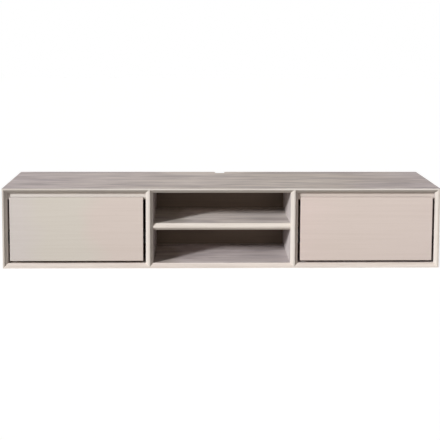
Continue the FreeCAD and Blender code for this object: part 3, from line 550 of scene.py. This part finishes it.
def lined_metal(name, tones, roughness, metallic):
    """Two tones, a small change of shine and a relief follow fine lines along Y."""
    material, tree = new_material(name)
    lines = grain_noise(tree, "y", *ROLL)
    share = add_node(tree, "ShaderNodeMapRange", enumerate((lines, *LINE_RANGE)))
    colour = add_node(tree, "ShaderNodeMix", [
        (SHARE, share), (UNDER, linear(tones[0])), (OVER, linear(tones[1]))], data_type="RGBA")
    shine = add_node(tree, "ShaderNodeMapRange", enumerate((
        lines, *LINE_RANGE, roughness + GLOSSIER, roughness + DULLER)))
    bump = add_node(tree, "ShaderNodeBump", [
        ("Height", lines), ("Strength", LINE_STRENGTH), ("Distance", LINE_DEPTH)])
    surface = add_node(tree, "ShaderNodeBsdfPrincipled", [
        ("Base Color", colour.outputs[MIXED]), ("Roughness", shine), ("Metallic", metallic),
        ("Normal", bump)])
    add_node(tree, "ShaderNodeOutputMaterial", [("Surface", surface)])
    return material


# A satin black paint film, so the steel under it shows only in its form.
slide_steel = lined_metal("electro_coated_rolled_steel", ("161718", "1E1F20"), 0.42, 0.0)
# Bright plating with a soft, slightly blurred reflection.
screw_steel = lined_metal("zinc_plated_screw_steel", ("BDBEBE", "D2D2D0"), 0.28, 1.0)
# Ground and polished, which gives each ball one sharp glint.
ball_steel = lined_metal("polished_bearing_steel", ("C6C7C9", "D6D6D6"), 0.14, 1.0)
print("metals:", slide_steel.name, screw_steel.name, ball_steel.name)

# %% [markdown]
# Two duller materials are left. The ball cages are moulded from acetal, a dull, slightly waxy
# plastic, and the bumper pads are punched from pressed felt, whose matted hairs scatter light.
# Hairs could be grown one by one, but on a pad as small as a fingertip a speckle and a little
# sheen look the same.

# %% Plastic and felt
SPOT_NOISE = (3.0, 0.6, 0.0)
SPOT_RANGE = (0.35, 0.65)
SPOT_STRENGTH, SPOT_DEPTH = 0.3, 0.1 * MM


def speckled(name, tones, size, roughness, sheen=0.0):
    """An even material whose colour wavers between two tones over spots of a given size."""
    material, tree = new_material(name)
    spots = grain_noise(tree, "x", size, size, *SPOT_NOISE)
    share = add_node(tree, "ShaderNodeMapRange", enumerate((spots, *SPOT_RANGE)))
    colour = add_node(tree, "ShaderNodeMix", [
        (SHARE, share), (UNDER, linear(tones[0])), (OVER, linear(tones[1]))], data_type="RGBA")
    bump = add_node(tree, "ShaderNodeBump", [
        ("Height", spots), ("Strength", SPOT_STRENGTH), ("Distance", SPOT_DEPTH)])
    surface = add_node(tree, "ShaderNodeBsdfPrincipled", [
        ("Base Color", colour.outputs[MIXED]), ("Roughness", roughness), ("Sheen Weight", sheen),
        ("Normal", bump)])
    add_node(tree, "ShaderNodeOutputMaterial", [("Surface", surface)])
    return material


# Almost black and half dull, as plastic straight from the mould is.
cage_plastic = speckled("moulded_acetal", ("26272A", "2E2F32"), 3 * MM, 0.45)
# Matted hairs: no shine, and a pale rim where the surface turns away.
pad_felt = speckled("pressed_felt", ("4A443E", "5E574F"), 1.2 * MM, 0.95, 0.4)
print("others:", cage_plastic.name, pad_felt.name)

# %% [markdown]
# Each board gets the wood whose grain runs as the joiner would lay it: lengthwise in the long
# boards and upright in the sides and dividers, so that it seems to flow round the mitres. The
# materials could be picked one by one in the list of objects, but the nodes' names say what each
# solid is, so a rule for each kind of name is shorter and leaves none out.

# %% Finishes of the nodes


def finish_of(name):
    """Chooses a node's material by the words in its name."""
    if name.endswith("_member"):
        return slide_steel
    if name.endswith("_screws"):
        return screw_steel
    if name.endswith("_ball_cages"):
        return cage_plastic
    if name.endswith("_pads"):
        return pad_felt
    if name.endswith("_tongues"):
        return birch["y"]
    if "_box_" in name:
        return birch["y" if name.endswith("_side") else "x"]
    if name.endswith("_drawer_front"):
        return front_wood
    if name.endswith("_back_panel"):
        return painted_shade_back_wood
    if name.endswith(("_side", "_divider")):
        return upright_wood
    return frame_wood.get(name, rail_wood)


for name, node in nodes.items():
    node.data.materials.clear()
    node.data.materials.append(finish_of(name))
print("finished nodes:", len(nodes))

# %% [markdown]
# Small turned things come next. Blender's Spin tool could turn them, but a stack of rings can
# carry a thread or a recess as well. A ring is a row of points round an axis, and a profile says
# how far each ring stands from the axis and how high. Quads join the rings, and a fan of
# triangles closes each end, so that the mesh is a closed skin with its faces out.

# %% Skins of rings


def turned(radius, height, angle):
    """A point stands at its height, and from the axis by its radius times the cosine and the
    sine of its angle."""
    return np.stack(np.broadcast_arrays(radius * np.cos(angle), radius * np.sin(angle), height),
                    axis=-1)


def closed_skin(rings):
    """Rings is an array of rings, points round and three coordinates, ordered along the axis and
    anticlockwise about it. Gives the points, the quads and the end fans of the closed skin."""
    count, around = rings.shape[:2]
    index = np.arange(count * around).reshape(count, around)
    after = np.roll(index, -1, axis=1)
    quads = np.stack([index[:-1], after[:-1], after[1:], index[1:]], axis=-1).reshape(-1, 4)
    foot, head = np.full(around, count * around), np.full(around, count * around + 1)
    fans = np.vstack([np.column_stack([after[0], index[0], foot]),
                      np.column_stack([index[-1], after[-1], head])])
    points = np.vstack([rings.reshape(-1, 3), rings[0].mean(0), rings[-1].mean(0)])
    return points, quads, fans


trial = closed_skin(turned(1.0, np.arange(3)[:, None], np.arange(8) * np.pi / 4))
print("points, quads and triangles of 3 rings of 8:", [len(part) for part in trial])

# %% [markdown]
# A skin is made once and then set down wherever the solid of its node stands. Copies could be
# separate objects, but screws or balls that move together are simpler to handle as one piece.
# Their places are worked out from the node's box, so that they follow the construction.

# %% Pieces from skins


def inside(node, inset):
    """Gives the two x, the two y and the two z, in mm, that an inset draws in from the ends of a
    node's box."""
    low, high = (np.array(corner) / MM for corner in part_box(node))
    return np.stack([low + inset, high - inset], axis=1)


def placed(points, origin, axis):
    """Turns points so that their own Z lies along the axis, then moves them to the origin."""
    turn = np.array(Vector(axis).to_track_quat("Z", "Y").to_matrix())
    return points @ turn.T + np.array(origin)


def make_piece(name, skin, places, material, body, node=None, smooth=False):
    """Repeats one skin at each place, a pair of an origin in mm and an axis, as one piece. The
    faces of a copy count on from the points of the copies before it."""
    points, quads, fans = skin
    copies = np.vstack([placed(points, origin, axis) for origin, axis in places]) * MM
    first = np.arange(len(places))[:, None, None] * len(points)
    faces = (quads + first).reshape(-1, 4).tolist() + (fans + first).reshape(-1, 3).tolist()
    mesh = bpy.data.meshes.new(name)
    mesh.from_pydata(copies.tolist(), [], faces)
    mesh.polygons.foreach_set("use_smooth", np.full(len(mesh.polygons), smooth))
    mesh.materials.append(material)
    piece = bpy.data.objects.new(name, mesh)
    bpy.context.scene.collection.objects.link(piece)
    if node:
        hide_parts(node)
    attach(piece, body)
    return piece


def show_reach(piece, node):
    """Prints by how many millimetres the piece's box leaves the box of a node."""
    corners = np.empty(3 * len(piece.data.vertices))
    piece.data.vertices.foreach_get("co", corners)
    corners = corners.reshape(-1, 3)
    low, high = (np.array(corner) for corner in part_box(node))
    out = max((low - corners.min(0)).max(), (corners.max(0) - high).max())
    print(f"{piece.name}: {len(piece.data.polygons)} faces, out of its node's box by {out / MM:.2f} mm")


print("middle of the left pads, mm:", inside("left_bumper_pads", 0).mean(axis=1).round(1))

# %% [markdown]
# The screws are pan heads with a cross recess and a rolled thread. A screw could be a cylinder
# with a spiral modifier, but a helix falls out of one formula: the radius of a ring rises and falls
# with the height and the angle together. The recess is a height that drops near the two lines of
# the cross.

# %% A turned screw
# Sizes in mm, a hair smaller than those of the plain solids.
HEAD_RADIUS, HEAD_HEIGHT = 3.7, 0.98
# Radius and height of the rings of the neck, the rim, the dome and the flat middle.
HEAD_RINGS = [(1.6, -0.8), (1.6, 0.0), (3.6, 0.0), (HEAD_RADIUS, 0.12), (HEAD_RADIUS, 0.45),
              (3.4, 0.72), (2.9, 0.87), (2.3, 0.95)]
HEAD_RINGS += [(radius, HEAD_HEIGHT) for radius in (1.9, 1.6, 1.2, 0.8, 0.5, 0.2)]
THREAD_RADIUS, THREAD_HEIGHT, THREAD_PITCH, RINGS_IN_PITCH = 1.95, 0.4, 1.8, 4
THREAD_TOP = -1.0
TIP_RADIUS, TIP_LENGTH, TIP_GAP = 0.3, 1.5, 0.05
RECESS_REACH, RECESS_HALF, RECESS_DEPTH, RECESS_SLOPE = 1.8, 0.38, 0.8, 0.12
SLIDE_SCREW_LENGTH, FRONT_SCREW_LENGTH = 10, 24


def screw_skin(length, around=24):
    """A point, a helix whose radius falls by the thread's height with the saw of height over
    pitch less angle over a turn, a neck, and a domed head. In the head's inner rings the height
    drops where the distance from the nearer line of the cross is under its half width."""
    angle = np.linspace(0, 2 * np.pi, around, endpoint=False)
    heights = np.arange(TIP_LENGTH - length, THREAD_TOP, THREAD_PITCH / RINGS_IN_PITCH)[:, None]
    saw = np.abs((heights / THREAD_PITCH - angle / (2 * np.pi)) % 1 - 0.5) * 2
    thread = turned(THREAD_RADIUS - THREAD_HEIGHT * saw, heights, angle)
    radius, height = (np.array(column)[:, None] for column in zip(*HEAD_RINGS))
    off_line = radius * np.minimum(np.abs(np.sin(angle)), np.abs(np.cos(angle)))
    cut = np.clip((RECESS_HALF + RECESS_SLOPE - off_line) / RECESS_SLOPE, 0, 1) * (radius < RECESS_REACH)
    head = turned(radius, height - RECESS_DEPTH * cut, angle)
    tip = turned(TIP_RADIUS, TIP_GAP - length, angle)
    return closed_skin(np.concatenate([tip[None], thread, head]))


for length in (SLIDE_SCREW_LENGTH, FRONT_SCREW_LENGTH):
    points, quads, fans = screw_skin(length)
    print("a screw of", length, "mm has", len(quads) + len(fans), "faces")

# %% [markdown]
# The turned screws take the place of the plain ones and stay within their boxes. Four hold the
# outer members of a bay's slides to its walls, four hold the inner members to the drawer, and two
# long ones hold the drawer front. Their places could be written down again as numbers, but the
# plain heads stand at the corners of each node's box, and that gives the same places.

# %% Screws
# The heads of the plain solids.
PLAIN_HEAD_RADIUS, PLAIN_HEAD_HEIGHT = 3.75, 1.0


def slide_places(node, depth, outwards):
    """The four places of a bay's slide screws, at the corners of their box, a depth in from its
    ends. Heads look into the bay, or with outwards -1 back at its walls."""
    across, along, up = inside(node, (depth, PLAIN_HEAD_RADIUS, 0))
    return [((x, y, up.mean()), (look * outwards, 0, 0))
            for x, look in zip(across, (1, -1)) for y in along]


def front_places(node):
    """The two places of the screws that hold a drawer front. Their heads look to the rear."""
    across, along, up = inside(node, (PLAIN_HEAD_RADIUS, PLAIN_HEAD_HEIGHT, 0))
    return [((x, along[1], up.mean()), (0, 1, 0)) for x in across]


for side in ("left", "right"):
    short, long = screw_skin(SLIDE_SCREW_LENGTH), screw_skin(FRONT_SCREW_LENGTH)
    cabinet, drawer, front = (f"{side}_{kind}_screws" for kind in ("cabinet", "drawer", "front"))
    for node, skin, places, body in (
            (cabinet, short, slide_places(cabinet, SLIDE_SCREW_LENGTH, 1), "root"),
            (drawer, short, slide_places(drawer, PLAIN_HEAD_HEIGHT, -1), side + "_drawer"),
            (front, long, front_places(front), side + "_drawer")):
        screws = make_piece("turned_" + node, skin, places, screw_steel, body, node)
        show_reach(screws, node)

# %% [markdown]
# The balls of the slides run in the tracks above and below each pair of members, and the acetal
# strips keep them apart. A ball could be an icosphere, but its poles would point anywhere, so each
# is a half circle turned about its axis, with few faces, because there are many of them. They ride
# on the same bodies as their cages.

# %% Balls
BALL_RADIUS, BALL_PITCH, BALLS_PER_STRIP = 1.45, 17, 9
# Half the thickness of a cage strip across and upright, which leads from its box to its middle.
STRIP_HALF_ACROSS, STRIP_HALF_UPRIGHT = 2.2, 1.2


def ball_skin(around=8, rows=5):
    """Each ring's radius is the sine of its angle from the pole, its height minus the cosine."""
    turn = np.linspace(0, 2 * np.pi, around, endpoint=False)
    fall = np.linspace(0, np.pi, rows + 2)[1:-1, None]
    points, quads, fans = closed_skin(turned(np.sin(fall), -np.cos(fall), turn))
    points[-2:] = [(0, 0, -1), (0, 0, 1)]
    return points * BALL_RADIUS, quads, fans


for side in ("left", "right"):
    for track in ("outer", "inner"):
        node = f"{side}_{track}_ball_cages"
        across, along, up = inside(node, (STRIP_HALF_ACROSS, 0, STRIP_HALF_UPRIGHT))
        steps = (np.arange(BALLS_PER_STRIP) - (BALLS_PER_STRIP - 1) / 2) * BALL_PITCH
        places = [((x, along.mean() + step, z), (0, 0, 1)) for x in across for z in up for step in steps]
        balls = make_piece(f"{side}_{track}_balls", ball_skin(), places, ball_steel,
                           f"{side}_{track}_cages", smooth=True)
        show_reach(balls, node)

# %% [markdown]
# The bumper pads are punched from pressed felt, 14 by 5 mm with rounded corners. The punch rounds
# their front rim, and use has pressed the middle a little flatter than a crown. Cloth could be
# simulated for a cushion, but pressed felt this thin doesn't billow, so a pad's outline is a
# superellipse that is drawn in towards its face.

# %% Felt pads
PAD_HALF_LENGTH, PAD_HALF_HEIGHT, PAD_THICKNESS = 7.0, 2.5, 0.7
PAD_CORNER_POWER = 5.0
# By how much each ring is drawn in, and how far it stands off the rail.
PAD_RINGS = [(0.0, 0.0), (0.0, 0.4), (0.06, 0.53), (0.2, 0.62), (0.5, 0.66), (1.2, 0.69),
             (2.0, PAD_THICKNESS)]


def pad_skin(around=48):
    """The outline is cosine and sine, each raised to 2 over the corner's power with its sign
    kept, and each ring draws it in by an inset as it rises from the rail."""
    angle = np.linspace(0, 2 * np.pi, around, endpoint=False)
    across = np.sign(np.cos(angle)) * np.abs(np.cos(angle)) ** (2 / PAD_CORNER_POWER)
    up = np.sign(np.sin(angle)) * np.abs(np.sin(angle)) ** (2 / PAD_CORNER_POWER)
    inset, height = (np.array(column)[:, None] for column in zip(*PAD_RINGS))
    rings = np.stack(np.broadcast_arrays(
        (PAD_HALF_LENGTH - inset) * across, (PAD_HALF_HEIGHT - inset) * up, height), axis=-1)
    return closed_skin(rings)


for side in ("left", "right"):
    node = side + "_bumper_pads"
    across, along, up = inside(node, (PAD_HALF_LENGTH, 0, 0))
    places = [((x, along[1], up.mean()), (0, -1, 0)) for x in across]
    pads = make_piece("felt_" + node, pad_skin(), places, pad_felt, "root", node)
    show_reach(pads, node)
